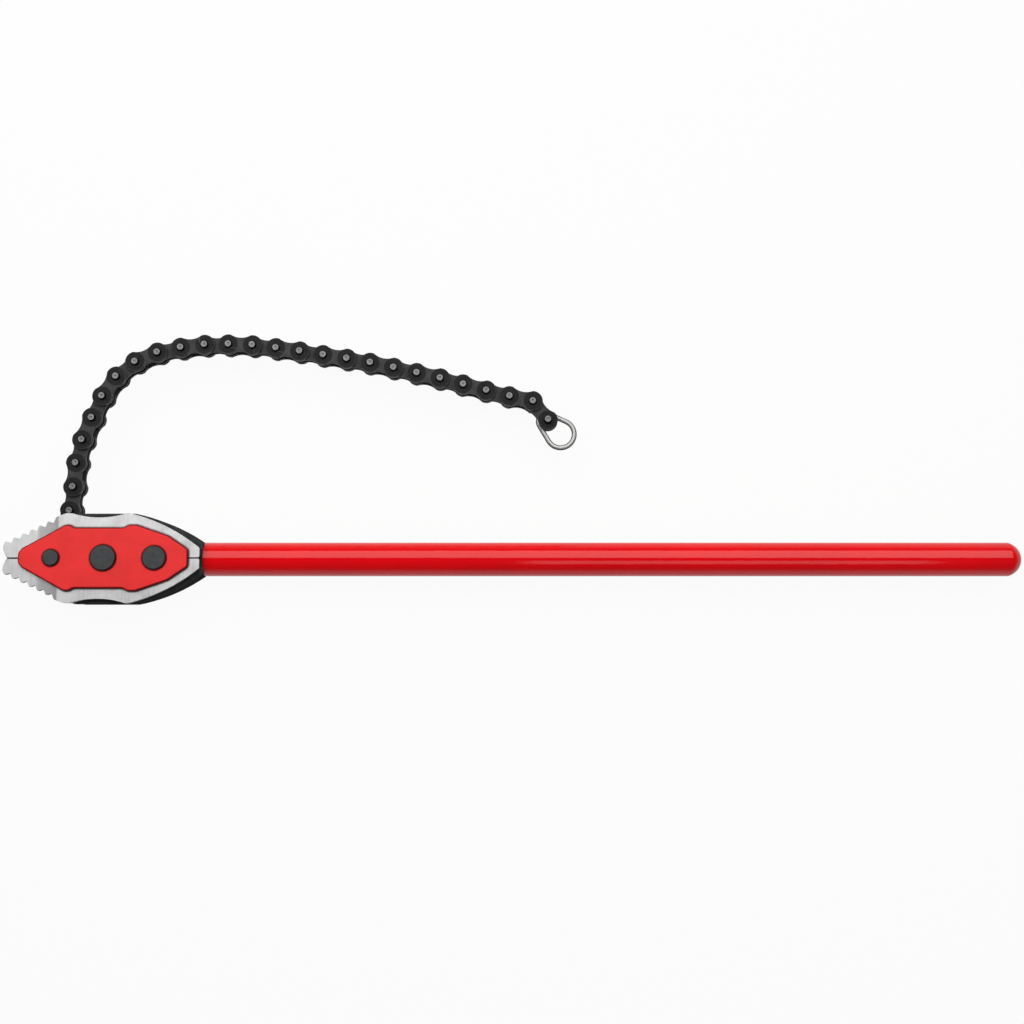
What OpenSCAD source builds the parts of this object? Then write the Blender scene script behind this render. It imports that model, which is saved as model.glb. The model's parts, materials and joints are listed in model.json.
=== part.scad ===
// Chain pipe wrench, lying flat on one side of its head.
// +X runs along the handle, +Z points out of the side of the head that faces up, and the origin is
// where the axis of the handle leaves the rear face of the head. All sizes are millimetres.

/* [Handle] */
// Diameter of the handle bar
handle_d = 35.7; // [30:0.1:37]
// Length of the handle bar from the head to its tip
handle_len = 859; // [500:1:1200]
// Height of the domed tip
dome_h = 14; // [8:0.5:15]
// Diameter of the spigot that holds the bar in the head
spigot_d = 22; // [18:0.5:24]
// Length of spigot beyond the rear rivet
spigot_tail = 12; // [6:1:20]

/* [Head body] */
// Thickness of the forged body
body_t = 30; // [28:0.5:40]
// Height of the body across its shoulders
body_h = 94.6; // [93:0.2:98]
// Height of the body at its rear face
body_rear_h = 31.4; // [28:0.2:40]
// Distance from the rear face to the start of the rear flanks
flank_at = 72; // [66:1:76]
// Radius of the rear flanks of the body and of the jaws
flank_r = 185; // [150:5:260]
// Distance from the rear face to the front shoulders of the body
shoulder_at = 131; // [126:0.5:132]
// Radius of the lug round the anchor rivet
lug_r = 28; // [20:1:30]
// Distance from the rear face to the floor of the chain slot
slot_floor_at = 117; // [115:0.5:120]
// Clearance between the chain and each side of its slot
slot_gap = 0.7; // [0.5:0.1:1.5]

/* [Jaws] */
// Thickness of each jaw
jaw_t = 8.5; // [7:0.5:12]
// Gap between the upper and lower jaw halves
jaw_split = 1.4; // [0.6:0.2:2.4]
// Distance from the rear face of the head to the tip of the nose
nose_at = 207; // [205:0.5:212]
// Number of teeth on each jaw half
tooth_count = 6; // [4:1:6]
// Length of one tooth along the jaw
tooth_run = 8.8; // [8:0.1:9]
// Rise of the jaw edge from one tooth to the next
tooth_rise = 4.2; // [3.4:0.1:4.4]
// Radius of the rounded tooth tips
tooth_tip_r = 1.5; // [0.5:0.1:1.7]
// Radius of the gullets between the teeth
gullet_r = 1.2; // [0.6:0.1:1.5]
// Height of the horn behind the teeth
horn_h = 46.6; // [46:0.1:48]
// Depth of the dip between the horn and the rear corner
dip_depth = 4.3; // [2:0.1:6]
// Half length of the dip
dip_half = 28; // [20:0.5:30]
// Depth of the recess milled into the toothed end
recess_depth = 2.5; // [1:0.1:4]
// Distance from the rear face to the end of the recess
recess_end_at = 149; // [146:0.5:155]
// Length of the run-out of the recess
recess_runout = 23; // [12:1:30]

/* [Cover plates] */
// Thickness of each cover plate
cover_t = 4; // [3:0.25:6]
// Chamfer round the outer edge of each cover plate
cover_chamfer = 1.4; // [0.6:0.1:2]
// Corner radius of the cover plates
cover_corner_r = 4; // [2:0.5:6]
// Half height of the cover plates between their lobes
cover_half_h = 31.8; // [29:0.2:33]
// Height of the lobes above the straight edge
cover_lobe = 3; // [1:0.2:4]
// Distance from the rear face to the tail of the cover plates
cover_tail_at = 13; // [11:0.5:15]
// Distance from the rear face to the nose of the cover plates
cover_nose_at = 189.6; // [188:0.2:191]

/* [Rivets] */
// Distance of the anchor rivet from the rear face
anchor_at = 155; // [154:0.5:158]
// Distance of the centre rivet from the rear face
center_at = 101; // [98:0.5:103]
// Distance of the rear rivet from the rear face
rear_at = 48; // [44:0.5:56]
// Shank diameter of the anchor rivet
anchor_shank_d = 11; // [9:0.5:12]
// Head diameter of the anchor rivet
anchor_head_d = 17.4; // [15:0.2:22]
// Shank diameter of the centre rivet
center_shank_d = 16; // [12:0.5:18]
// Head diameter of the centre rivet
center_head_d = 27; // [22:0.2:32]
// Shank diameter of the rear rivet
rear_shank_d = 14; // [10:0.5:15]
// Head diameter of the rear rivet
rear_head_d = 25; // [20:0.2:30]
// Height of the rivet heads
rivet_head_h = 2.6; // [1.8:0.1:5]
// Chamfer of the rivet heads
rivet_chamfer = 1; // [0.3:0.1:1.4]

/* [Chain] */
// Distance between two chain pins
pitch = 25.4; // [25:0.1:26.5]
// Distance between the anchor rivet and the first chain pin
anchor_pitch = 27.2; // [27:0.1:29]
// Diameter of the round ends of the link plates
plate_d = 21.2; // [19:0.1:22]
// Width of the link plates at the waist
waist_w = 14.8; // [12:0.1:16]
// Thickness of the link plates
plate_t = 3.2; // [2.6:0.1:3.4]
// Distance between the two inner plates of a link
inner_gap = 6; // [5.6:0.1:7]
// Play between inner and outer plates
side_gap = 0.5; // [0.3:0.05:0.7]
// Diameter of the chain pins
pin_d = 7.9; // [6:0.1:8.4]
// Length by which the chain pins stand out of the outer plates
pin_stand = 3.3; // [1.5:0.1:3.8]
// Length by which the pin inside the head stands out of its plates
pin_flush = 0.3; // [0.1:0.05:0.4]
// Wall of the bushes
bush_wall = 2.1; // [1.4:0.1:2.4]
// Play of a pin in its bush, measured on the radius
pin_play = 0.3; // [0.2:0.05:0.5]

/* [Pull ring] */
// Diameter of the ring wire
wire_d = 5.3; // [4:0.1:5.4]
// Outer diameter of the round end of the ring
ring_d = 34.6; // [30:0.2:40]
// Inner diameter of the eye round the last pin
eye_bore_d = 12; // [10:0.1:13]
// Distance from the middle of the eye to the middle of the round end
ring_reach = 20; // [18:0.1:26]
// Heading of the ring, anticlockwise from +X
ring_heading = -42; // [-60:1:-20]
// Heading from the last pin to the middle of the eye that hangs on it, anticlockwise from +X
eye_heading = -141; // [-160:1:-120]

/* [Hidden] */
// Heading of each link as the chain lies, in degrees anticlockwise from +X, from the head to the ring
headings = [76, 76, 84, 85, 77, 68, 66, 56, 39, 23, 12, 7, 1, -2,
            -7, -8, -9, -9, -10, -12, -13, -13, -15, -15, -14, -12, -51];
link_last = len(headings) - 1;

// Gap on the radius between pieces that are riveted or pressed together
fit_gap = 0.05;
// Overlap that keeps cuts clear of the faces they pass through
over = 1;

// Levels of the head above its middle plane
jaw_z = body_t / 2;
cover_z = jaw_z + jaw_t;
rivet_z = cover_z + cover_t;

// Widths across the chain
inner_w = inner_gap + 2 * plate_t;
outer_w = inner_w + 2 * side_gap + 2 * plate_t;
slot_w = outer_w + 2 * slot_gap;
bush_bore_d = pin_d + 2 * pin_play;
bush_d = bush_bore_d + 2 * bush_wall;
anchor_bush_bore_d = anchor_shank_d + 2 * pin_play;
anchor_bush_d = anchor_bush_bore_d + 2 * bush_wall;

// Sphere that the domed tip is a cap of
dome_r = (pow(handle_d / 2, 2) + dome_h * dome_h) / (2 * dome_h);
spigot_len = rear_at + rear_shank_d / 2 + spigot_tail;

// Fixed points of the jaw outline, upper half, with the nose measured back from its tip
jaw_corner_at = 75;
jaw_corner_rise = 0.2;
jaw_rear_at = 2;
jaw_rear_half_h = 10.5;
jaw_corner = [-jaw_corner_at, horn_h + jaw_corner_rise];
jaw_rear = [-jaw_rear_at, jaw_rear_half_h];
nose_curve = [[3.6, jaw_split / 2], [0.4, 8], [0, 12.5]];
first_tooth = [2, 17.6];
horn_run = 11;

// Back of a tooth: its share of the length of the tooth, and how far it falls towards the gullet
tooth_back = 0.72;
tooth_fall = 2.2;

// Dip behind the horn, which lies a little in front of the middle between horn and corner
dip_shift = 4;
dip_x = (jaw_corner.x - shoulder_at) / 2 - dip_shift;
dip_r = (dip_half * dip_half + dip_depth * dip_depth) / (2 * dip_depth);
recess_r = (recess_runout * recess_runout + recess_depth * recess_depth) / (2 * recess_depth);

// Cover plate outline: blunt tail and nose with their corners, and the ends of the lobes with their ramps
cover_tail = [[0, 9], [4, 12], [21, 23.5]];
cover_nose = [[3.6, 10], [0, 5]];
front_lobe = [-142, -137];
front_lobe_fall = 0.6;
rear_lobe = [-75, -67];
lobe_ramp = 6;

// Length by which the straights of the ring run into its bends, and by how much they are drawn thinner
wire_lap = 0.4;
wire_step = 0.04;

// Radius of the hollow waist sides, as a multiple of the radius that would just touch both round ends
hollow_ease = 1.25;

// Chamfer and dimple of the pin ends
pin_chamfer = 0.7;
dimple_d = 2.6;
dimple_floor_d = 1.4;
dimple_depth = 0.35;

// Colours as they are seen
red_enamel = [0.89, 0.05, 0.08];
red_paint = [0.90, 0.25, 0.25];
ground_steel = [0.80, 0.80, 0.80];
black_forged = [0.16, 0.16, 0.16];
black_rivet = [0.26, 0.26, 0.26];
black_chain = [0.18, 0.18, 0.18];
pin_steel = [0.59, 0.59, 0.59];
bright_wire = [0.85, 0.85, 0.84];

function two_digits(n) = str(n < 10 ? "0" : "", n);
function is_outer(i) = i % 2 == 1;
function link_name(i) =
    i == 0 ? "anchor_link" : str(is_outer(i) ? "outer_link_" : "inner_link_", two_digits(i));
function pins_name(i) = str("link_pins_", two_digits(i));

// Centre of the circle of radius r that bulges upwards from p to q, with p left of q
function arc_center(p, q, r) =
    let (half = (q - p) / 2, side = norm(half), along = half / side)
    (p + q) / 2 + sqrt(r * r - side * side) * [along.y, -along.x];

// Pin at the far end of link i, and the anchor rivet for i = -1
function link_len(i) = i == 0 ? anchor_pitch : pitch;
function pin_at(i) =
    i < 0 ? [-anchor_at, 0] : pin_at(i - 1) + link_len(i) * [cos(headings[i]), sin(headings[i])];

// Outline whose upper half is given, closed by its mirror image below the axis
function both_halves(points) =
    concat(points, [for (i = [len(points) - 1 : -1 : 0]) [points[i].x, -points[i].y]]);

// Cut away above a flank arc from p to q, kept whole in front of p
module under_flank(p, q) {
    translate([p.x - nose_at - over, -body_h]) square([nose_at + over, 2 * body_h]);
    translate(arc_center(p, q, flank_r)) circle(r = flank_r, $fn = 180);
}

module rivet_holes(gap) {
    for (hole = [[anchor_at, anchor_shank_d], [center_at, center_shank_d], [rear_at, rear_shank_d]])
        translate([-hole[0], 0]) circle(d = hole[1] + 2 * gap, $fn = 48);
}

// Handle bar with its domed tip and the spigot that the rear rivet holds

module handle_bar() {
    color(red_enamel)
    difference() {
        rotate([0, 90, 0]) {
            cylinder(d = handle_d, h = handle_len - dome_h, $fn = 96);
            translate([0, 0, handle_len - dome_h])
                intersection() {
                    translate([0, 0, dome_h - dome_r]) sphere(r = dome_r, $fn = 96);
                    cylinder(d = handle_d, h = dome_h, $fn = 96);
                }
            translate([0, 0, -spigot_len]) cylinder(d = spigot_d, h = spigot_len, $fn = 64);
        }
        translate([-rear_at, 0, -body_t / 2])
            cylinder(d = rear_shank_d + 2 * fit_gap, h = body_t, $fn = 48);
    }
}

// Forged head body with curved rear flanks, a fork with two lugs, and the socket of the handle

module body_profile() {
    corner = [-flank_at, body_h / 2];
    rear = [0, body_rear_h / 2];
    lug_angle = atan2(body_h / 2, anchor_at - shoulder_at)
        + acos(lug_r / norm([anchor_at - shoulder_at, body_h / 2]));
    intersection() {
        union() {
            polygon(both_halves([[0, corner.y], [-shoulder_at, corner.y],
                                 [-anchor_at, 0] + lug_r * [cos(lug_angle), sin(lug_angle)]]));
            translate([-anchor_at, 0]) circle(r = lug_r, $fn = 64);
        }
        intersection() {
            under_flank(corner, rear);
            mirror([0, 1, 0]) under_flank(corner, rear);
        }
    }
}

module head_body() {
    color(black_forged)
    difference() {
        translate([0, 0, -body_t / 2])
            linear_extrude(body_t)
            difference() {
                body_profile();
                rivet_holes(fit_gap);
            }
        translate([-nose_at, -body_h, -slot_w / 2]) cube([nose_at - slot_floor_at, 2 * body_h, slot_w]);
        translate([-spigot_len - fit_gap, 0, 0])
            rotate([0, 90, 0])
            cylinder(d = spigot_d + 2 * fit_gap, h = spigot_len + fit_gap + over, $fn = 64);
    }
}

// Jaw half: toothed nose with a milled recess, horn, dip and rear flank

module jaw_edge() {
    tip_of_nose = [-nose_at, 0];
    tips = [for (k = [0 : tooth_count]) tip_of_nose + first_tooth + k * [tooth_run, tooth_rise]];
    gullets = [for (k = [0 : tooth_count - 1]) tips[k] + [tooth_back * tooth_run, -tooth_fall]];
    offset(r = -gullet_r, $fn = 20)
        offset(delta = gullet_r)
        offset(r = tooth_tip_r, $fn = 20)
        offset(delta = -tooth_tip_r)
        polygon(concat(
            [[jaw_rear.x, jaw_split / 2]],
            [for (point = nose_curve) tip_of_nose + point],
            [for (k = [0 : tooth_count - 1], point = [tips[k], gullets[k]]) point],
            [tips[tooth_count], [-shoulder_at - horn_run, horn_h],
             jaw_corner, [jaw_rear.x, jaw_corner.y]]));
}

module jaw_half() {
    difference() {
        linear_extrude(jaw_t)
            difference() {
                intersection() {
                    jaw_edge();
                    under_flank(jaw_corner, jaw_rear);
                }
                translate([dip_x, horn_h - dip_depth + dip_r]) circle(r = dip_r, $fn = 180);
                rivet_holes(fit_gap);
            }
        translate([-recess_end_at - recess_runout, -over, jaw_t - recess_depth + recess_r])
            rotate([-90, 0, 0])
            cylinder(r = recess_r, h = horn_h + 2 * over, $fn = 180);
        translate([-nose_at - over, -over, jaw_t - recess_depth])
            cube([nose_at + over - recess_end_at - recess_runout, horn_h + 2 * over, recess_depth + over]);
    }
}

module jaw(back, lower) {
    color(ground_steel)
    mirror([0, 0, back ? 1 : 0])
    mirror([0, lower ? 1 : 0, 0])
    translate([0, 0, jaw_z])
    jaw_half();
}

module jaw_front_upper() jaw(false, false);
module jaw_front_lower() jaw(false, true);
module jaw_back_upper() jaw(true, false);
module jaw_back_lower() jaw(true, true);

// Cover plate: a chamfered plate with four lobes, clamped over the jaw halves by the rivets

module cover_outline() {
    lobe_y = cover_half_h + cover_lobe;
    offset(r = cover_corner_r, $fn = 24)
        offset(delta = -cover_corner_r)
        polygon(both_halves(concat(
            [for (point = cover_tail) [-cover_tail_at - point.x, point.y]],
            [[rear_lobe[1], lobe_y], [rear_lobe[0], lobe_y], [rear_lobe[0] - lobe_ramp, cover_half_h],
             [front_lobe[1] + lobe_ramp, cover_half_h], [front_lobe[1], lobe_y],
             [front_lobe[0], lobe_y - front_lobe_fall]],
            [for (point = cover_nose) [-cover_nose_at + point.x, point.y]])));
}

module cover_plate(back) {
    color(red_paint)
    mirror([0, 0, back ? 1 : 0])
    translate([0, 0, cover_z])
    difference() {
        minkowski() {
            linear_extrude(cover_t - cover_chamfer) offset(delta = -cover_chamfer) cover_outline();
            cylinder(r1 = cover_chamfer, r2 = 0, h = cover_chamfer, $fn = 16);
        }
        translate([0, 0, -over]) linear_extrude(cover_t + 2 * over) rivet_holes(fit_gap);
    }
}

module cover_plate_front() cover_plate(false);
module cover_plate_back() cover_plate(true);

// Rivets with a flat chamfered head on each side

module rivet(x, shank_d, head_d) {
    color(black_rivet)
    translate([-x, 0, 0]) {
        translate([0, 0, -rivet_z]) cylinder(d = shank_d, h = 2 * rivet_z, $fn = 48);
        for (side = [0, 1])
            mirror([0, 0, side])
            translate([0, 0, rivet_z]) {
                cylinder(d = head_d, h = rivet_head_h - rivet_chamfer, $fn = 64);
                translate([0, 0, rivet_head_h - rivet_chamfer])
                    cylinder(d1 = head_d, d2 = head_d - 2 * rivet_chamfer, h = rivet_chamfer, $fn = 64);
            }
    }
}

module anchor_rivet() rivet(anchor_at, anchor_shank_d, anchor_head_d);
module center_rivet() rivet(center_at, center_shank_d, center_head_d);
module rear_rivet() rivet(rear_at, rear_shank_d, rear_head_d);

// Chain links. A plate is two round ends joined by a waist with hollow sides. The last link has no bush
// at its far end, where the pull ring hangs on the pin itself.

module plate_profile(len, hole_1, hole_2) {
    end_r = plate_d / 2;
    tangent_r = (len * len / 4 + waist_w * waist_w / 4 - end_r * end_r) / (2 * end_r - waist_w);
    hollow_r = hollow_ease * tangent_r;
    touch = end_r / (end_r + tangent_r) * [len / 2, waist_w / 2 + tangent_r];
    difference() {
        union() {
            circle(r = end_r, $fn = 64);
            translate([len, 0]) circle(r = end_r, $fn = 64);
            translate([touch.x, -touch.y]) square([len - 2 * touch.x, 2 * touch.y]);
        }
        for (side = [-1, 1])
            translate([len / 2, side * (waist_w / 2 + hollow_r)]) circle(r = hollow_r, $fn = 180);
        circle(d = hole_1, $fn = 48);
        translate([len, 0]) circle(d = hole_2, $fn = 48);
    }
}

module plate_pair(width, len, hole_1, hole_2) {
    for (z = [-width / 2, width / 2 - plate_t])
        translate([0, 0, z]) linear_extrude(plate_t) plate_profile(len, hole_1, hole_2);
}

module bush(outer, bore) {
    translate([0, 0, -inner_w / 2])
        linear_extrude(inner_w)
        difference() {
            circle(d = outer, $fn = 48);
            circle(d = bore, $fn = 48);
        }
}

module on_link(i) {
    start = pin_at(i - 1);
    translate([start.x, start.y, 0]) rotate(headings[i]) children();
}

module inner_link(i) {
    first_bush_d = i == 0 ? anchor_bush_d : bush_d;
    first_bore_d = i == 0 ? anchor_bush_bore_d : bush_bore_d;
    has_last_bush = i < link_last;
    last_hole_d = has_last_bush ? bush_d : pin_d;
    color(black_chain)
    on_link(i) {
        plate_pair(inner_w, link_len(i), first_bush_d + 2 * fit_gap, last_hole_d + 2 * fit_gap);
        bush(first_bush_d, first_bore_d);
        if (has_last_bush) translate([link_len(i), 0, 0]) bush(bush_d, bush_bore_d);
    }
}

module outer_link(i) {
    color(black_chain)
    on_link(i)
    plate_pair(outer_w, pitch, pin_d + 2 * fit_gap, pin_d + 2 * fit_gap);
}

// Chain pin with chamfered, dimpled ends
module chain_pin(half_len) {
    difference() {
        for (side = [0, 1])
            mirror([0, 0, side]) {
                cylinder(d = pin_d, h = half_len - pin_chamfer, $fn = 48);
                translate([0, 0, half_len - pin_chamfer])
                    cylinder(d1 = pin_d, d2 = pin_d - 2 * pin_chamfer, h = pin_chamfer, $fn = 48);
            }
        for (side = [0, 1])
            mirror([0, 0, side])
            translate([0, 0, half_len - dimple_depth])
            cylinder(d1 = dimple_floor_d, d2 = 2 * dimple_d - dimple_floor_d, h = 2 * dimple_depth, $fn = 32);
    }
}

module link_pins(i) {
    half_len = outer_w / 2 + pin_stand;
    color(pin_steel)
    on_link(i) {
        chain_pin(i == 1 ? outer_w / 2 + pin_flush : half_len);
        translate([pitch, 0, 0]) chain_pin(half_len);
    }
}

module end_pin() {
    color(pin_steel)
    on_link(link_last)
    translate([pitch, 0, 0])
    chain_pin(outer_w / 2 + pin_stand);
}

// Pull ring: a wire bent into a loose eye round the last pin and a wider loop, closed by two straights

module wire_arc(r, from, sweep) {
    rotate(from)
        rotate_extrude(angle = sweep, $fn = 96)
        translate([r, 0]) circle(d = wire_d, $fn = 32);
}

module pull_ring() {
    small_r = (eye_bore_d + wire_d) / 2;
    large_r = (ring_d - wire_d) / 2;
    lean = asin((large_r - small_r) / ring_reach);
    straight = ring_reach * cos(lean);
    slack = eye_bore_d / 2 - pin_d / 2 - pin_play;
    eye = pin_at(link_last) + slack * [cos(eye_heading), sin(eye_heading)];
    color(bright_wire)
    translate([eye.x, eye.y, 0])
    rotate(ring_heading) {
        wire_arc(small_r, 90 + lean, 180 - 2 * lean);
        translate([ring_reach, 0, 0]) wire_arc(large_r, -90 - lean, 180 + 2 * lean);
        for (side = [0, 1])
            mirror([0, side, 0])
            rotate(90 + lean)
            translate([small_r, wire_lap, 0])
            rotate([90, 0, 0])
            cylinder(d = wire_d - wire_step, h = straight + 2 * wire_lap, $fn = 32);
    }
}

handle_bar();
head_body();
jaw_front_upper();
jaw_front_lower();
jaw_back_upper();
jaw_back_lower();
cover_plate_front();
cover_plate_back();
anchor_rivet();
center_rivet();
rear_rivet();
for (i = [0 : 2 : link_last]) inner_link(i);
for (i = [1 : 2 : link_last]) outer_link(i);
for (i = [1 : 2 : link_last]) link_pins(i);
end_pin();
pull_ring();
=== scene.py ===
"""Dresses the chain pipe wrench: the finish of every piece, its softened edges, the light and the camera."""

import json
import math

import bmesh
import bpy
from bpy.props import FloatProperty, FloatVectorProperty, PointerProperty
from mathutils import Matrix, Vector

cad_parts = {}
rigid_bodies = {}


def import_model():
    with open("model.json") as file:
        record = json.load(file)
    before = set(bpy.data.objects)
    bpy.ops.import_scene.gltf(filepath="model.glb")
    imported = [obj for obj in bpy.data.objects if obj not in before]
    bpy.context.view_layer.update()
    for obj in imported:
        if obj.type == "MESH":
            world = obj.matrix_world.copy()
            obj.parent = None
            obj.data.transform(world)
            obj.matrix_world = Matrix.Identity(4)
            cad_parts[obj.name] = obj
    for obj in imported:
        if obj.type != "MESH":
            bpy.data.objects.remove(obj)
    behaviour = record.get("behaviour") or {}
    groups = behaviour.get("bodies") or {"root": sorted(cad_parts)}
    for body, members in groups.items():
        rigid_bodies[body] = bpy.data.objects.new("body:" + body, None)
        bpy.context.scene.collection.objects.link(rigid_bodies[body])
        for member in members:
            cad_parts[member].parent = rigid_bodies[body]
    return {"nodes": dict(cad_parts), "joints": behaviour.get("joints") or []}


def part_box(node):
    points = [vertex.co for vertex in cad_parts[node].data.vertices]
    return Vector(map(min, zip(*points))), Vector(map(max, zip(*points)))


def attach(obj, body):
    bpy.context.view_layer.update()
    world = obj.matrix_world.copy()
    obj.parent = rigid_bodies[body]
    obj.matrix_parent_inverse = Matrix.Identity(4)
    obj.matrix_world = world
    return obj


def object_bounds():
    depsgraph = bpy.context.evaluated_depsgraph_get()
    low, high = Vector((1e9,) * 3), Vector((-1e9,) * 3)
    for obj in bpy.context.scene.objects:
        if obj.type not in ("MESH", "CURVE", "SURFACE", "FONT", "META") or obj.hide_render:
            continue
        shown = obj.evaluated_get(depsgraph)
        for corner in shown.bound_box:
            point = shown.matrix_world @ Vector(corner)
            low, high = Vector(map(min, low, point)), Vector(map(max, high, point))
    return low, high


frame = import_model()
CAD_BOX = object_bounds()

bl_info = {
    "name": "Chain pipe wrench",
    "version": (1, 0, 0),
    "blender": (4, 5, 0),
    "location": "View3D > Sidebar > Wrench",
    "description": "Finishes a chain pipe wrench and sets up its studio",
    "category": "Object",
}

MM = 0.001

# Nodes of the frame, by the piece of the wrench that they are
HANDLE = ["handle_bar"]
BODY = ["head_body"]
JAWS = ["jaw_front_upper", "jaw_front_lower", "jaw_back_upper", "jaw_back_lower"]
COVERS = ["cover_plate_front", "cover_plate_back"]
RIVETS = ["anchor_rivet", "center_rivet", "rear_rivet"]
LINKS = sorted(name for name in frame["nodes"] if "_link" in name)
PINS = sorted(name for name in frame["nodes"] if name.startswith(("link_pins", "end_pin")))
RING = ["pull_ring"]

# Slit between the jaw noses: rounding at its mouth, and the dark bead of painted shade in it by height from
# the middle plane, depth, reach under the cover, share of the slit's width, and the sag and ripple of its
# skin
NOSE_ROUNDING = 4.2 * MM
SLIT_SHADE_TOP = 20.4 * MM
SLIT_SHADE_DEPTH = 4.6 * MM
SLIT_SHADE_UNDER_COVER = 3 * MM
SLIT_SHADE_FILL = 0.94
SLIT_SHADE_SAG = 0.35
SLIT_SHADE_RIPPLE = 0.4
SLIT_SHADE_WAVES = 19

# Jaws by height from the middle plane: oxide, which also stands as painted shade in the slit, stays up to the
# first and is ground off past the second
OXIDE_BELOW = 15.3 * MM
GROUND_ABOVE = 16 * MM

# Chain plates by distance from a pin: reach of the painted shade round it, and where the waist turns lighter
# grey
PIN_SHADE_REACH = 9.5 * MM
WAIST_LIGHT_FROM = 10.3 * MM

# Chain pins: length of the bare end, and the length over which oxide gives way to it
BARE_END = 0.60 * MM
BARE_BLEND = 0.05 * MM

# Rounding: gap that is welded, largest angle inside a flat face, least angle of a sharp edge
WELD_GAP = 0.002 * MM
FLAT_ANGLE = math.radians(0.4)
SHARP_ANGLE = math.radians(28)

# Tops of the cove and of the walls of the room, by the sine of their height over the horizon
COVE_TOP = 0.12
WALL_TOP = 0.45

# Sockets of the colour mix node, which has a set of the same names for each kind of data
MIX_A = 6
MIX_B = 7
MIX_RESULT = 2


def linear(hex_color):
    """Linear red, green and blue of an sRGB colour written as #RRGGBB."""
    channels = [int(hex_color[i:i + 2], 16) / 255 for i in (1, 3, 5)]
    return [c / 12.92 if c <= 0.04045 else ((c + 0.055) / 1.055) ** 2.4 for c in channels]


def repeats(size_mm):
    """Texture scale at which a pattern in metres repeats every size_mm millimetres."""
    return 1 / (size_mm * MM)


def shade_of(color, factor):
    """That colour made lighter or darker, with full alpha."""
    return [c * factor for c in color] + [1.0]


def color_prop(name, description, default):
    """A colour that a user can change, given as sRGB hex."""
    return FloatVectorProperty(
        name=name, description=description, subtype="COLOR", size=3, min=0, max=1, default=linear(default)
    )


def length_prop(name, description, default):
    """A length that a user can change, in metres."""
    return FloatProperty(
        name=name, description=description, subtype="DISTANCE", unit="LENGTH", default=default
    )


def angle_prop(name, description, degrees):
    """An angle that a user can change, given in degrees."""
    return FloatProperty(
        name=name, description=description, subtype="ANGLE", unit="ROTATION", default=math.radians(degrees)
    )


def level_prop(name, description, default):
    """A brightness that a user can change, 1 being white."""
    return FloatProperty(name=name, description=description, min=0, default=default)


class WrenchFinish(bpy.types.PropertyGroup):
    """Colours and edge radii of the wrench"""

    enamel: color_prop("Handle enamel", "Gloss enamel of the handle bar", "#DA000B")
    paint: color_prop("Cover paint", "Satin paint of the cover plates", "#E13232")
    # painted shade: the dark colour that the tilted edges of the cover plates take as an outline
    cover_edge_shade: color_prop("Cover edge", "Sheared edge of the cover plates under thin paint", "#680104")
    steel: color_prop("Jaw steel", "Ground steel of the jaws", "#D1D1D1")
    # oxide on the jaw sides, and also painted shade on the inner faces in the slit between the noses
    steel_side: color_prop("Jaw sides", "Oxide left on the sides of the jaws", "#303030")
    forging: color_prop("Forged body", "Blackened scale of the forged body", "#323333")
    rivet: color_prop("Rivets", "Blackened steel of the rivets", "#323334")
    chain: color_prop("Chain", "Oiled black oxide of the chain plates", "#161616")
    pin_end: color_prop("Pin ends", "Bare steel of the pin ends", "#727271")
    wire: color_prop("Ring wire", "Bright drawn wire of the pull ring", "#B2B2B1")
    # painted shade: the dull grey of the rounded sides of the ring's wire
    wire_shade: color_prop("Ring sides", "Dull sides of the wire of the pull ring", "#3E3E3E")
    # painted shade: colour of the dark beads that fill the slits between the jaw noses
    grease: color_prop("Grease", "Old grease packed between the noses of the jaws", "#121110")
    forged_edge: length_prop("Forged edge", "Radius of the edges of the forged body", 1.6 * MM)
    ground_edge: length_prop("Ground edge", "Radius of the edges of the jaws", 0.15 * MM)
    painted_edge: length_prop("Painted edge", "Largest radius of the edges of the cover plates", 1.6 * MM)
    turned_edge: length_prop("Turned edge", "Radius of the edges of the rivets", 0.35 * MM)
    tumbled_edge: length_prop("Tumbled edge", "Radius of the edges of the chain plates", 0.45 * MM)
    pin_edge: length_prop("Pin edge", "Radius of the edges of the pin ends", 0.15 * MM)


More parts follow.
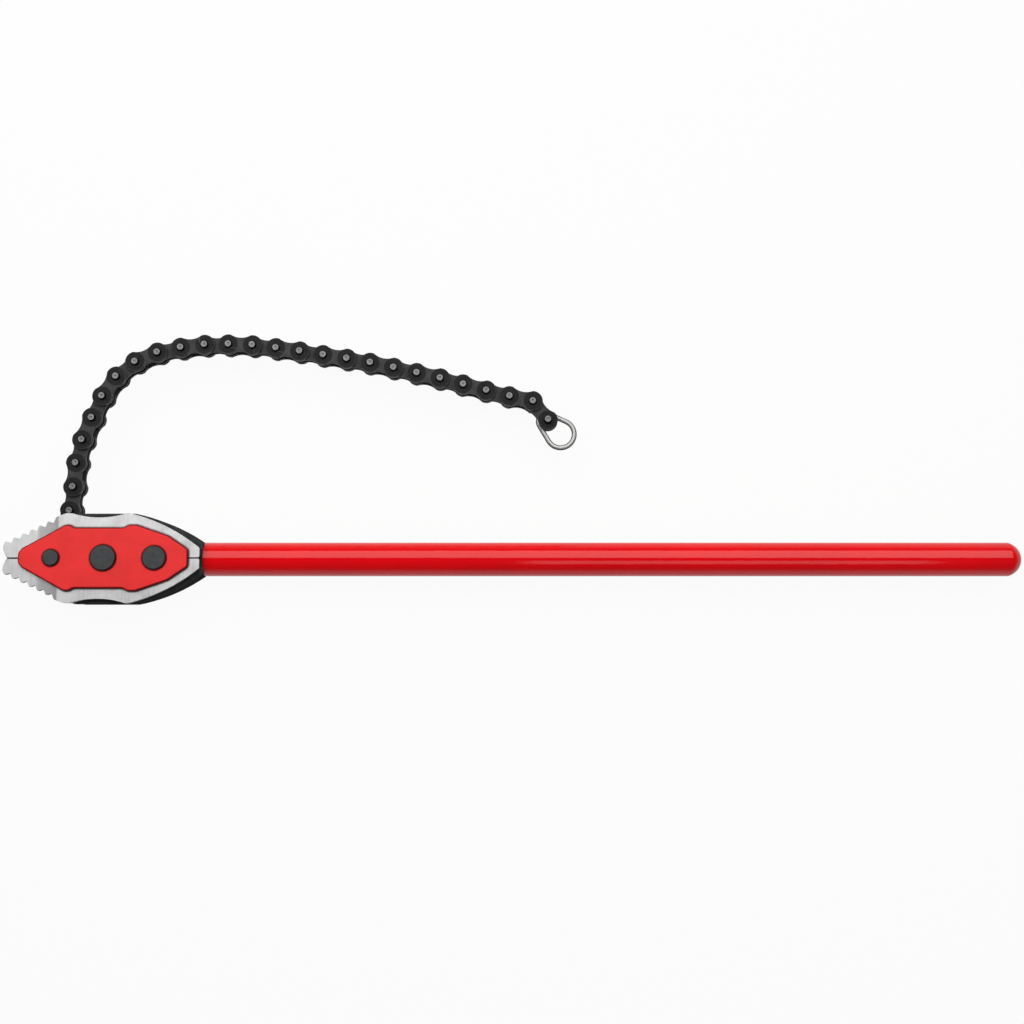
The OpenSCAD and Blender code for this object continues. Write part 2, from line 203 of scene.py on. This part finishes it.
class WrenchStage(bpy.types.PropertyGroup):
    """Floor, light and camera"""

    floor_color: color_prop("Floor", "Pale floor that the wrench lies on", "#D4D4D2")
    floor_radius: length_prop("Floor radius", "Radius of the round floor", 60.0)
    floor_glow: level_prop("Floor glow", "Share of plain white in the floor as it is seen", 0.94)
    lamp_distance: length_prop("Lamp distance", "Distance of the softboxes from the wrench", 1.5)
    key_level: level_prop("Key", "Brightness of the large softbox beyond the wrench", 2.75)
    key_angle: angle_prop("Key angle", "Lean of the large softbox from straight above", 33)
    key_width: length_prop("Key width", "Width of the large softbox across the wrench", 1.42)
    key_start: length_prop("Key start", "Where the large softbox starts along the wrench", -1.5)
    key_end: length_prop("Key end", "Where the large softbox ends along the wrench", 1.5)
    fill_level: level_prop("Fill", "Brightness of the small softbox on the viewer's side", 1.5)
    fill_angle: angle_prop("Fill angle", "Lean of the small softbox from straight above", -24)
    fill_width: length_prop("Fill width", "Width of the small softbox across the wrench", 0.6)
    fill_start: length_prop("Fill start", "Where the small softbox starts along the wrench", 0.3)
    fill_end: length_prop("Fill end", "Where the small softbox ends along the wrench", 1.2)
    zenith: level_prop("Zenith", "Brightness of the room straight above", 0.14)
    wall: level_prop("Wall", "Brightness of the walls of the room", 0.42)
    cove: level_prop("Cove", "Brightness of the cove where the walls meet the floor", 0.95)
    camera_place: FloatVectorProperty(
        name="Camera", description="Place of the camera", subtype="XYZ", unit="LENGTH", size=3,
        default=(0.3227, -0.0952, 1.480),
    )
    camera_tilt: angle_prop("Camera tilt", "Turn of the camera from straight down towards +Y", 5.615)
    lens: FloatProperty(name="Lens", description="Focal length in millimetres", default=49.4)


def add_node(tree, kind, values=None, links=None, **settings):
    """One node with its settings, the values of its sockets and the outputs that feed it."""
    made = tree.nodes.new(kind)
    for name, value in settings.items():
        setattr(made, name, value)
    for socket, value in (values or {}).items():
        made.inputs[socket].default_value = value
    for socket, source in (links or {}).items():
        tree.links.new(source, made.inputs[socket])
    return made


def new_material(name, **values):
    """A material with one principled shader that starts from these values, and what its patterns need."""
    material = bpy.data.materials.new(name)
    material.use_nodes = True
    tree = material.node_tree
    shader = tree.nodes["Principled BSDF"]
    for socket, value in values.items():
        shader.inputs[socket.replace("_", " ")].default_value = value
    place = add_node(tree, "ShaderNodeTexCoord")
    return material, tree, shader, place.outputs["Object"]


def patches(tree, place, size_mm, low=0.0, high=1.0, detail=3.0):
    """Soft patches of that size that wander from low to high."""
    noise = add_node(
        tree, "ShaderNodeTexNoise", {"Scale": repeats(size_mm), "Detail": detail}, {"Vector": place}
    )
    spread = add_node(
        tree,
        "ShaderNodeMapRange",
        {"From Min": 0.32, "From Max": 0.68, "To Min": low, "To Max": high},
        {"Value": noise.outputs["Fac"]},
    )
    return spread.outputs["Result"]


def wear_and_rim_highlight(tree, start, full):
    """1 on convex edges, where a finish rubs off first and where a painted highlight lightens the rims, and 0
    on faces.
    """
    form = add_node(tree, "ShaderNodeNewGeometry")
    spread = add_node(
        tree, "ShaderNodeMapRange", {"From Min": start, "From Max": full},
        {"Value": form.outputs["Pointiness"]},
    )
    return spread.outputs["Result"]


def off_mid_plane(tree, vector, start, full, within=None):
    """0 where the Z of a vector, up or down, is less than start, and 1 where it is more than full.
    A mask given as within scales the result."""
    axes = add_node(tree, "ShaderNodeSeparateXYZ", links={"Vector": vector})
    height = add_node(tree, "ShaderNodeMath", links={0: axes.outputs["Z"]}, operation="ABSOLUTE")
    links = {"Value": height.outputs["Value"]}
    if within is not None:
        links["To Max"] = within
    spread = add_node(tree, "ShaderNodeMapRange", {"From Min": start, "From Max": full}, links)
    return spread.outputs["Result"]


def facing(tree, start, full, within=None):
    """0 on faces that stand across the wrench, 1 on faces that lie flat, for either side."""
    form = add_node(tree, "ShaderNodeNewGeometry")
    return off_mid_plane(tree, form.outputs["True Normal"], start, full, within)


def corner_shade(tree, reach_mm, open_sky, closed_in):
    """1 where pieces meet and painted shade darkens the colour, 0 in the open, by how much of the sky is
    seen.
    """
    sky = add_node(tree, "ShaderNodeAmbientOcclusion", {"Distance": reach_mm * MM}, samples=8)
    spread = add_node(
        tree, "ShaderNodeMapRange", {"From Min": open_sky, "From Max": closed_in},
        {"Value": sky.outputs["AO"]},
    )
    return spread.outputs["Result"]


def from_pin(tree, place, property_name):
    """Distance across the chain from the pin whose place the link holds under that name."""
    pin = add_node(tree, "ShaderNodeAttribute", attribute_type="OBJECT", attribute_name=property_name)
    across = add_node(
        tree, "ShaderNodeVectorMath", links={0: place, 1: pin.outputs["Vector"]}, operation="SUBTRACT"
    )
    level = add_node(
        tree, "ShaderNodeVectorMath", {1: (1, 1, 0)}, {0: across.outputs["Vector"]}, operation="MULTIPLY"
    )
    return add_node(
        tree, "ShaderNodeVectorMath", links={0: level.outputs["Vector"]}, operation="LENGTH"
    ).outputs["Value"]


def color_layers(tree, layers, color=None):
    """Colour built up in layers. Each has a mask, the colour where the mask is 0 and that where it is 1,
    and None stands for the colour so far."""
    for mask, at_zero, at_one in layers:
        mix = add_node(tree, "ShaderNodeMix", links={"Factor": mask}, data_type="RGBA")
        for socket, shade in ((MIX_A, at_zero), (MIX_B, at_one)):
            if shade is None:
                tree.links.new(color, mix.inputs[socket])
            else:
                mix.inputs[socket].default_value = shade
        color = mix.outputs[MIX_RESULT]
    return color


def feed_shader(tree, shader, color, roughness, relief, depth_mm):
    """Gives the shader its colour, its roughness where that varies, and a relief of that depth."""
    bump = add_node(
        tree, "ShaderNodeBump", {"Strength": 1.0, "Distance": depth_mm * MM}, {"Height": relief}
    )
    sources = {"Base Color": color, "Roughness": roughness, "Normal": bump.outputs["Normal"]}
    for socket, source in sources.items():
        if source is not None:
            tree.links.new(source, shader.inputs[socket])


def gloss_enamel(finish):
    """Sprayed and stoved gloss enamel: a hard mirror-like skin with faint orange peel and even colour,
    darkened by painted shade where other surfaces come close, such as at the head.
    """
    material, tree, shader, place = new_material(
        "stoved_gloss_enamel", Roughness=0.09, IOR=1.47, Specular_IOR_Level=0.36
    )
    color = color_layers(tree, [
        (patches(tree, place, 60), shade_of(finish.enamel, 0.96), shade_of(finish.enamel, 1.04)),
        # painted shade: darker enamel where other surfaces come close, such as at the head
        (corner_shade(tree, 14, 0.95, 0.65), None, shade_of(finish.enamel, 0.35)),
    ])
    feed_shader(tree, shader, color, None, patches(tree, place, 3.2, detail=1.0), 0.012)
    return material


def satin_paint(finish):
    """Satin paint rolled on stamped plate: soft broad highlights and slightly cloudy colour on the faces,
    painted shade round the rivets and where the plate meets other parts, and painted shade on the tilted
    edges, which outlines the plate."""
    material, tree, shader, place = new_material("satin_paint_on_plate", IOR=1.5, Specular_IOR_Level=0.12)
    edge = shade_of(finish.cover_edge_shade, 1.0)
    color = color_layers(tree, [
        (patches(tree, place, 22), shade_of(finish.paint, 0.94), shade_of(finish.paint, 1.05)),
        # painted shade: darker round the rivets and where the plate meets other parts
        (corner_shade(tree, 2, 0.94, 0.74), None, edge),
        # painted shade: tilted edge faces take the dark edge colour, which outlines the plate
        (facing(tree, 0.84, 0.9995), edge, None),
    ])
    relief = patches(tree, place, 2.4, detail=2.0)
    feed_shader(tree, shader, color, patches(tree, place, 9, 0.30, 0.42), relief, 0.03)
    return material


def ground_steel(finish):
    """Surface-ground tool steel: grey mirror broken by grinding lines, cloudy from oil, with painted shade on
    the sloped scoop at the nose and next to the cover plates, and black oxide on the sides and inner faces
    that were never ground, which also stands as painted shade in the slit between the noses.
    The grinding lines are really 0.1 mm apart and are drawn at 1.6 mm so that they show."""
    material, tree, shader, place = new_material("surface_ground_steel")
    stretched = add_node(
        tree, "ShaderNodeMapping", {"Scale": (1.0, 0.07, 1.0), "Rotation": (0, 0, math.radians(12))},
        {"Vector": place},
    )
    lines = patches(tree, stretched.outputs["Vector"], 1.6, detail=2.0)
    form = add_node(tree, "ShaderNodeNewGeometry")
    slope = add_node(tree, "ShaderNodeSeparateXYZ", links={"Vector": form.outputs["True Normal"]})
    scoop_shade = add_node(
        tree, "ShaderNodeMapRange", {"From Min": -0.005, "From Max": -0.03}, {"Value": slope.outputs["X"]}
    )
    outside = off_mid_plane(tree, place, OXIDE_BELOW, GROUND_ABOVE)
    ground = facing(tree, 0.45, 0.90, within=outside)
    color = color_layers(tree, [
        (patches(tree, place, 22), shade_of(finish.steel, 0.64), shade_of(finish.steel, 1.0)),
        (lines, None, shade_of(finish.steel, 0.92)),
        # painted shade: the sloped scoop at the nose is darker
        (facing(tree, 0.93, 0.96, within=scoop_shade.outputs["Result"]), None, shade_of(finish.steel, 0.62)),
        # painted shade: darker next to the cover plates
        (corner_shade(tree, 2.5, 0.86, 0.66), None, shade_of(finish.steel, 0.3)),
        # oxide on the sides and inner faces, which also stands as painted shade in the slit
        (ground, shade_of(finish.steel_side, 1.0), None),
    ])
    tree.links.new(ground, shader.inputs["Metallic"])
    feed_shader(tree, shader, color, patches(tree, place, 7, 0.44, 0.56), lines, 0.012)
    return material


def forged_scale(finish):
    """Drop-forged steel under black scale: dull, pitted all over, rubbed to grey on its edges."""
    material, tree, shader, place = new_material("black_forging_scale", IOR=1.5, Specular_IOR_Level=0.0)
    color = color_layers(tree, [
        (patches(tree, place, 8), shade_of(finish.forging, 0.75), shade_of(finish.forging, 1.35)),
        (wear_and_rim_highlight(tree, 0.53, 0.63), None, shade_of(finish.forging, 2.4)),
    ])
    feed_shader(tree, shader, color, patches(tree, place, 5, 0.50, 0.66), patches(tree, place, 2.2), 0.10)
    return material


def turned_black_steel(finish):
    """Turned steel, blackened in hot oil: a dark grey sheen over fine rings round each rivet's axis, with
    painted shade that turns the chamfers near black.
    The tool marks are really 0.15 mm apart and are drawn ten to a head so that they show."""
    material, tree, shader, place = new_material("turned_black_steel", IOR=1.5, Metallic=0.35)
    around = add_node(tree, "ShaderNodeTexCoord")
    middle = add_node(
        tree, "ShaderNodeVectorMath", {1: (0.5, 0.5, 0.5)}, {0: around.outputs["Generated"]},
        operation="SUBTRACT",
    )
    rings = add_node(
        tree,
        "ShaderNodeTexWave",
        {"Scale": 6.0, "Distortion": 0.6, "Detail": 1.0},
        {"Vector": middle.outputs["Vector"]},
        wave_type="RINGS",
        rings_direction="Z",
    )
    color = color_layers(tree, [
        (patches(tree, place, 6), shade_of(finish.rivet, 0.85), shade_of(finish.rivet, 1.25)),
        # painted shade: the chamfers of the rivet heads are turned near black
        (facing(tree, 0.78, 0.99), shade_of(finish.rivet, 0.12), None),
    ])
    feed_shader(tree, shader, color, patches(tree, place, 4, 0.34, 0.46), rings.outputs["Fac"], 0.02)
    return material


def oiled_black_oxide(finish):
    """Tumbled plate in black oxide, oiled: painted shade makes it near black round the pins and leaves the
    waists greyer, and its rims are lightened to dark grey, partly wear and partly a painted highlight."""
    material, tree, shader, place = new_material("oiled_black_oxide", IOR=1.5, Specular_IOR_Level=0.075)
    nearest = add_node(
        tree, "ShaderNodeMath", operation="MINIMUM",
        links={0: from_pin(tree, place, "first_pin"), 1: from_pin(tree, place, "last_pin")},
    )
    out_of_painted_shade = add_node(
        tree, "ShaderNodeMapRange", {"From Min": PIN_SHADE_REACH, "From Max": WAIST_LIGHT_FROM},
        {"Value": nearest.outputs["Value"]},
    )
    plain = color_layers(tree, [
        # painted shade: near black round the pins, lighter grey on the waists
        (out_of_painted_shade.outputs["Result"], shade_of(finish.chain, 0.6), shade_of(finish.chain, 5.0)),
    ])
    uneven = add_node(
        tree, "ShaderNodeVectorMath", links={0: plain, 1: patches(tree, place, 7, 0.75, 1.25)},
        operation="MULTIPLY",
    )
    color = color_layers(
        # partly wear and partly a painted highlight: the rims of the plates are lightened
        tree, [(wear_and_rim_highlight(tree, 0.53, 0.62), None, shade_of(finish.chain, 7.0))], uneven.outputs["Vector"]
    )
    feed_shader(tree, shader, color, patches(tree, place, 5, 0.34, 0.52), patches(tree, place, 1.8), 0.02)
    return material


def sheared_pin_steel(finish, bare_from):
    """Black pins whose ends are cropped and peened: bare grey steel on the end faces, oxide on the sides."""
    material, tree, shader, place = new_material("cropped_pin_steel", Metallic=1.0)
    tone = patches(tree, place, 1.6)
    end = off_mid_plane(tree, place, bare_from, bare_from + BARE_BLEND)
    color = color_layers(tree, [
        (tone, shade_of(finish.pin_end, 0.6), shade_of(finish.pin_end, 1.05)),
        (facing(tree, 0.76, 0.84, within=end), shade_of(finish.chain, 1.2), None),
    ])
    feed_shader(tree, shader, color, patches(tree, place, 1.2, 0.34, 0.50), tone, 0.03)
    return material


def bright_drawn_wire(finish):
    """Drawn steel wire: bright metal where it faces up or down, and dull grey round its sides as painted
    shade.
    """
    material, tree, shader, place = new_material("bright_drawn_wire", Specular_IOR_Level=0.0)
    # painted shade: the rounded sides of the wire are dull grey, the faces up and down stay bright metal
    out_of_painted_shade = facing(tree, 0.52, 0.94)
    color = color_layers(tree, [
        (patches(tree, place, 12), shade_of(finish.wire, 0.92), shade_of(finish.wire, 1.0)),
        (out_of_painted_shade, shade_of(finish.wire_shade, 1.0), None),
    ])
    tree.links.new(out_of_painted_shade, shader.inputs["Metallic"])
    feed_shader(tree, shader, color, patches(tree, place, 6, 0.46, 0.56), patches(tree, place, 1.4), 0.006)
    return material


def slit_shade_filler(finish):
    """Near black, lumpy and dull fill with a faint glint, which stands as painted shade in the slits between
    the jaw noses.
    """
    material, tree, shader, place = new_material("packed_black_grease", IOR=1.48, Specular_IOR_Level=0.1)
    lumps = patches(tree, place, 1.5)
    color = color_layers(tree, [
        (lumps, shade_of(finish.grease, 0.7), shade_of(finish.grease, 1.5)),
    ])
    feed_shader(tree, shader, color, patches(tree, place, 0.8, 0.45, 0.70), lumps, 0.05)
    return material


def whole_skin():
    """Node group that welds the faces of a CAD node into one skin and shades it smooth."""
    name = "whole_skin"
    if name in bpy.data.node_groups:
        return bpy.data.node_groups[name]
    group = bpy.data.node_groups.new(name, "GeometryNodeTree")
    group.interface.new_socket("Geometry", in_out="INPUT", socket_type="NodeSocketGeometry")
    group.interface.new_socket("Geometry", in_out="OUTPUT", socket_type="NodeSocketGeometry")
    start = add_node(group, "NodeGroupInput")
    bare = add_node(
        group, "GeometryNodeRemoveAttribute", {"Name": "custom_normal"},
        {"Geometry": start.outputs["Geometry"]},
    )
    welded = add_node(
        group, "GeometryNodeMergeByDistance", {"Distance": WELD_GAP},
        {"Geometry": bare.outputs["Geometry"]},
    )
    faces = add_node(
        group, "GeometryNodeSetShadeSmooth", links={"Geometry": welded.outputs["Geometry"]}, domain="FACE"
    )
    edges = add_node(
        group, "GeometryNodeSetShadeSmooth", links={"Geometry": faces.outputs["Geometry"]}, domain="EDGE"
    )
    add_node(group, "NodeGroupOutput", links={"Geometry": edges.outputs["Geometry"]})
    return group


def soften(node, radius, segments, clamp):
    """Rounds the sharp edges of a CAD node and evens its shading, with its own mesh as it was.
    A clamped radius shrinks until the rounding of one edge no longer crosses the next."""
    skin = node.modifiers.new("whole_skin", "NODES")
    skin.node_group = whole_skin()
    flat = node.modifiers.new("flat_faces", "DECIMATE")
    flat.decimate_type = "DISSOLVE"
    flat.angle_limit = FLAT_ANGLE
    if radius:
        edge = node.modifiers.new("soft_edges", "BEVEL")
        edge.width = radius
        edge.segments = segments
        edge.limit_method = "ANGLE"
        edge.angle_limit = SHARP_ANGLE
        edge.use_clamp_overlap = clamp
        edge.loop_slide = False
    even = node.modifiers.new("even_shading", "WEIGHTED_NORMAL")
    even.keep_sharp = False


def dress(names, material, radius, segments=2, clamp=False):
    """Gives CAD nodes their finish and softened edges."""
    for name in names:
        node = frame["nodes"][name]
        node.data.materials.clear()
        node.data.materials.append(material)
        soften(node, radius, segments, clamp)


def slit_shade_bead(name, start, end, width, top, depth):
    """A dark bead of painted shade along the slit between two jaw noses, its skin sunk between the walls and
    uneven.
    A negative top turns it over to the back of the wrench."""
    skin = bmesh.new()
    bmesh.ops.create_grid(skin, x_segments=24, y_segments=6, size=0.5)
    for vertex in skin.verts:
        x, y, _ = vertex.co
        sunk = SLIT_SHADE_SAG * depth * (0.25 - y ** 2) * (1 + SLIT_SHADE_RIPPLE * math.sin(SLIT_SHADE_WAVES * x))
        vertex.co = (x * (end - start), y * width, abs(top) - sunk)
    mesh = bpy.data.meshes.new(name)
    skin.to_mesh(mesh)
    skin.free()
    bead = bpy.data.objects.new(name, mesh)
    bead.location.x = (start + end) / 2
    bead.rotation_euler.x = 0 if top > 0 else math.pi
    filled = bead.modifiers.new("filled", "SOLIDIFY")
    filled.thickness = depth
    filled.offset = -1
    bpy.context.collection.objects.link(bead)
    return bead


class WRENCH_OT_handle(bpy.types.Operator):
    """Finish the handle bar in gloss enamel"""

    bl_idname = "wrench.handle"
    bl_label = "Handle"

    def execute(self, context):
        dress(HANDLE, gloss_enamel(context.scene.wrench_finish), 0)
        return {"FINISHED"}


class WRENCH_OT_body(bpy.types.Operator):
    """Finish the forged head body"""

    bl_idname = "wrench.body"
    bl_label = "Head body"

    def execute(self, context):
        finish = context.scene.wrench_finish
        dress(BODY, forged_scale(finish), finish.forged_edge, 3)
        return {"FINISHED"}


class WRENCH_OT_jaws(bpy.types.Operator):
    """Finish the four jaw halves"""

    bl_idname = "wrench.jaws"
    bl_label = "Jaws"

    def execute(self, context):
        finish = context.scene.wrench_finish
        dress(JAWS, ground_steel(finish), finish.ground_edge)
        return {"FINISHED"}


class WRENCH_OT_covers(bpy.types.Operator):
    """Finish the two cover plates"""

    bl_idname = "wrench.covers"
    bl_label = "Cover plates"

    def execute(self, context):
        finish = context.scene.wrench_finish
        dress(COVERS, satin_paint(finish), finish.painted_edge, 6, clamp=True)
        return {"FINISHED"}


class WRENCH_OT_rivets(bpy.types.Operator):
    """Finish the three rivets"""

    bl_idname = "wrench.rivets"
    bl_label = "Rivets"

    def execute(self, context):
        finish = context.scene.wrench_finish
        dress(RIVETS, turned_black_steel(finish), finish.turned_edge)
        return {"FINISHED"}


class WRENCH_OT_chain(bpy.types.Operator):
    """Finish the plates and bushes of the chain"""

    bl_idname = "wrench.chain"
    bl_label = "Chain links"

    def execute(self, context):
        finish = context.scene.wrench_finish
        dress(LINKS, oiled_black_oxide(finish), finish.tumbled_edge)
        for joint in frame["joints"]:
            for name, body in (("first_pin", joint["child"]), ("last_pin", joint["parent"])):
                if body in LINKS:
                    node = frame["nodes"][body]
                    node[name] = list(node.matrix_world.inverted() @ Vector(joint["pos_m"]))
        return {"FINISHED"}


class WRENCH_OT_pins(bpy.types.Operator):
    """Finish the chain pins, with bare ends where they stand out of the plates"""

    bl_idname = "wrench.pins"
    bl_label = "Chain pins"

    def execute(self, context):
        finish = context.scene.wrench_finish
        pin_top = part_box("end_pin")[1].z
        dress(PINS, sheared_pin_steel(finish, pin_top - BARE_END), finish.pin_edge)
        return {"FINISHED"}


class WRENCH_OT_ring(bpy.types.Operator):
    """Finish the pull ring"""

    bl_idname = "wrench.ring"
    bl_label = "Pull ring"

    def execute(self, context):
        dress(RING, bright_drawn_wire(context.scene.wrench_finish), 0)
        return {"FINISHED"}


class WRENCH_OT_slit_shade(bpy.types.Operator):
    """Fill the slits between the jaw noses with dark beads of painted shade"""

    bl_idname = "wrench.grease"
    bl_label = "Packed grease"

    def execute(self, context):
        material = slit_shade_filler(context.scene.wrench_finish)
        slit_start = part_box("jaw_front_upper")[0].x + NOSE_ROUNDING
        slit_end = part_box("cover_plate_front")[0].x + SLIT_SHADE_UNDER_COVER
        slit_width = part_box("jaw_front_upper")[0].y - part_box("jaw_front_lower")[1].y
        # painted shade: one dark bead in the slit on the front and one on the back
        for name, top in (("grease_front", SLIT_SHADE_TOP), ("grease_back", -SLIT_SHADE_TOP)):
            bead = slit_shade_bead(name, slit_start, slit_end, SLIT_SHADE_FILL * slit_width, top, SLIT_SHADE_DEPTH)
            bead.data.materials.append(material)
            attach(bead, "wrench")
        return {"FINISHED"}


def pale_floor(stage):
    """Matt white studio floor: plain to the eye and in reflections, and it still takes a soft shadow."""
    material, tree, shader, _ = new_material("matt_white_floor", Roughness=0.9, Specular_IOR_Level=0.1)
    shader.inputs["Base Color"].default_value = shade_of(stage.floor_color, 1.0)
    ray = add_node(tree, "ShaderNodeLightPath")
    seen = add_node(
        tree, "ShaderNodeMath",
        links={0: ray.outputs["Is Camera Ray"], 1: ray.outputs["Is Glossy Ray"]}, operation="MAXIMUM",
    )
    seen = add_node(
        tree, "ShaderNodeMath",
        links={0: seen.outputs["Value"], 1: ray.outputs["Is Transmission Ray"]}, operation="MAXIMUM",
    )
    share = add_node(
        tree, "ShaderNodeMath", {1: stage.floor_glow}, {0: seen.outputs["Value"]}, operation="MULTIPLY"
    )
    glow = add_node(tree, "ShaderNodeEmission", {"Color": (1, 1, 1, 1), "Strength": 1.0})
    mix = add_node(
        tree, "ShaderNodeMixShader",
        links={0: share.outputs["Value"], 1: shader.outputs["BSDF"], 2: glow.outputs["Emission"]},
    )
    tree.links.new(mix.outputs["Shader"], tree.nodes["Material Output"].inputs["Surface"])
    return material


def studio_room(stage):
    """World of a dim room whose walls get paler towards the floor and run into it in a cove."""
    world = bpy.data.worlds.new("studio_room")
    world.use_nodes = True
    tree = world.node_tree
    direction = add_node(tree, "ShaderNodeTexCoord")
    axes = add_node(tree, "ShaderNodeSeparateXYZ", links={"Vector": direction.outputs["Generated"]})
    foot = add_node(
        tree,
        "ShaderNodeMapRange",
        {"From Min": 0.0, "From Max": COVE_TOP, "To Min": stage.cove, "To Max": stage.wall},
        {"Value": axes.outputs["Z"]},
        interpolation_type="SMOOTHSTEP",
    )
    level = add_node(
        tree,
        "ShaderNodeMapRange",
        {"From Min": COVE_TOP, "From Max": WALL_TOP, "To Max": stage.zenith},
        {"Value": axes.outputs["Z"], "To Min": foot.outputs["Result"]},
        interpolation_type="SMOOTHSTEP",
    )
    tree.links.new(level.outputs["Result"], tree.nodes["Background"].inputs["Strength"])
    tree.nodes["Background"].inputs["Color"].default_value = (1, 1, 1, 1)
    return world


class WRENCH_OT_stage(bpy.types.Operator):
    """Lay the floor, hang the softboxes and set the camera"""

    bl_idname = "wrench.stage"
    bl_label = "Stage"

    def execute(self, context):
        stage = context.scene.wrench_stage
        low, high = CAD_BOX
        middle = (low + high) / 2

        disc = bmesh.new()
        bmesh.ops.create_circle(disc, cap_ends=True, segments=128, radius=stage.floor_radius)
        floor_mesh = bpy.data.meshes.new("floor")
        disc.to_mesh(floor_mesh)
        disc.free()
        floor = bpy.data.objects.new("floor", floor_mesh)
        floor.location = (middle.x, middle.y, low.z)
        floor.data.materials.append(pale_floor(stage))
        context.collection.objects.link(floor)

        for name in ("key", "fill"):
            level, angle, width, start, end = (
                getattr(stage, f"{name}_{value}") for value in ("level", "angle", "width", "start", "end")
            )
            softbox = bpy.data.lights.new(name, "AREA")
            softbox.shape = "RECTANGLE"
            softbox.size = end - start
            softbox.size_y = width
            softbox.energy = level * math.pi * softbox.size * softbox.size_y
            lamp = bpy.data.objects.new(name, softbox)
            lamp.location = (
                (start + end) / 2,
                stage.lamp_distance * math.sin(angle),
                stage.lamp_distance * math.cos(angle),
            )
            lamp.rotation_euler = (-angle, 0, 0)
            lamp.visible_camera = False
            context.collection.objects.link(lamp)

        context.scene.world = studio_room(stage)

        lens = bpy.data.cameras.new("camera")
        lens.lens = stage.lens
        camera = bpy.data.objects.new("camera", lens)
        camera.location = stage.camera_place
        camera.rotation_euler = (stage.camera_tilt, 0, 0)
        context.collection.objects.link(camera)
        context.scene.camera = camera
        context.scene.view_settings.view_transform = "Standard"
        return {"FINISHED"}


STEPS = [
    WRENCH_OT_handle, WRENCH_OT_body, WRENCH_OT_jaws, WRENCH_OT_covers, WRENCH_OT_rivets,
    WRENCH_OT_chain, WRENCH_OT_pins, WRENCH_OT_ring, WRENCH_OT_slit_shade, WRENCH_OT_stage,
]


class WRENCH_PT_panel(bpy.types.Panel):
    """Sidebar panel that lists the steps"""

    bl_idname = "WRENCH_PT_panel"
    bl_label = "Chain pipe wrench"
    bl_space_type = "VIEW_3D"
    bl_region_type = "UI"
    bl_category = "Wrench"

    def draw(self, context):
        for step in STEPS:
            self.layout.operator(step.bl_idname)


CLASSES = [WrenchFinish, WrenchStage, *STEPS, WRENCH_PT_panel]


def register():
    for item in CLASSES:
        bpy.utils.register_class(item)
    bpy.types.Scene.wrench_finish = PointerProperty(type=WrenchFinish)
    bpy.types.Scene.wrench_stage = PointerProperty(type=WrenchStage)


def unregister():
    del bpy.types.Scene.wrench_stage
    del bpy.types.Scene.wrench_finish
    for item in reversed(CLASSES):
        bpy.utils.unregister_class(item)


def main():
    register()
    bpy.ops.wrench.handle()
    bpy.ops.wrench.body()
    bpy.ops.wrench.jaws()
    bpy.ops.wrench.covers()
    bpy.ops.wrench.rivets()
    bpy.ops.wrench.chain()
    bpy.ops.wrench.pins()
    bpy.ops.wrench.ring()
    bpy.ops.wrench.grease()
    bpy.ops.wrench.stage()


if __name__ == "__main__":
    main()
